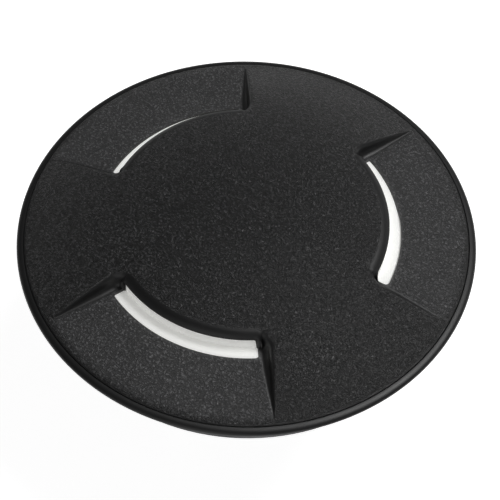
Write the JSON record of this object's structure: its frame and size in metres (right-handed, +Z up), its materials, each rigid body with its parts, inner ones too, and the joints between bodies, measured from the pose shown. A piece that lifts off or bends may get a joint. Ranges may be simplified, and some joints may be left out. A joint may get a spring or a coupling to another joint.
{
  "type": "in-ground well light",
  "caption": "Round low-domed light set flush in the ground: three scooped side windows throw light along the surface, over a finned lamp in a moulded well sleeve.",
  "frame": {"origin": "on the light's axis, in the plane of the cover rim's underside, which is the ground line", "axes": "+Z up along the axis, out of the ground; the first scoop looks out 5.1 degrees round from +X towards +Y"},
  "size_m": [0.114, 0.114, 0.0686],
  "materials": {
    "powder_coat": "textured black powder coat on die-cast aluminium",
    "frosted_acrylic": "frosted white acrylic",
    "grey_silicone": "matt silicone",
    "black_nylon": "glass-filled nylon, fine moulded grain",
    "stainless": "stainless steel",
    "spun_reflector": "bright spun aluminium",
    "slip_plastic": "low-friction plastic, satin",
    "sleeve_plastic": "moulded composite, matt",
    "cast_aluminium": "as-cast, bead blasted",
    "toughened_glass": "polished, ground edge",
    "clear_optic": "clear moulded acrylic",
    "phosphor": "yellow phosphor under clear silicone",
    "white_board": "white solder mask",
    "green_board": "green solder mask",
    "thermal_compound": "soft filled silicone",
    "red_insulation": "red wire insulation",
    "black_insulation": "black wire insulation",
    "copper_winding": "enamelled copper wire",
    "can_sleeve": "shrink sleeve",
    "black_epoxy": "moulded epoxy",
    "black_rubber": "matt rubber"
  },
  "bodies": {
    "housing": {"well_sleeve": "sleeve_plastic", "module_body": "cast_aluminium", "hanger_screws": "stainless", "lens_seal": "grey_silicone", "glass_lens": "toughened_glass", "clamp_ring": "stainless", "clamp_screws": "stainless", "optic": "clear_optic", "emitters": "phosphor", "emitter_board": "white_board", "board_screws": "stainless", "thermal_pad": "thermal_compound", "red_lead": "red_insulation", "black_lead": "black_insulation", "driver_spacers": "black_nylon", "driver_board": "green_board", "driver_screws": "stainless", "choke": "copper_winding", "capacitors": "can_sleeve", "bridge_block": "black_epoxy", "base_cap": "cast_aluminium", "cap_ring": "black_rubber", "cap_screws": "stainless", "gland_washer_seal": "black_rubber", "gland_body": "black_nylon", "gland_seal": "black_rubber", "gland_nut": "black_nylon"},
    "slip_washer": {"slip_washer": "slip_plastic"},
    "cover": {"cover_casting": "powder_coat", "diffuser_ring": "frosted_acrylic", "diffuser_gasket": "grey_silicone", "lug_ring": "black_nylon", "lug_ring_screws": "stainless", "reflector_cone": "spun_reflector", "reflector_screw": "stainless"}
  },
  "joints": [
    {"name": "cover_turn", "type": "hinge", "parent": "housing", "child": "slip_washer", "pos_m": [0, 0, 0], "axis": [0, 0, 1], "range_deg": [0, 75]},
    {"name": "cover_lift", "type": "slide", "parent": "slip_washer", "child": "cover", "axis": [0, 0, 1], "range_m": [0, 0.0065]}
  ],
  "couplings": [
    {"joint": "cover_lift", "follows": "cover_turn", "m_per_rad": 0.0049656}
  ]
}
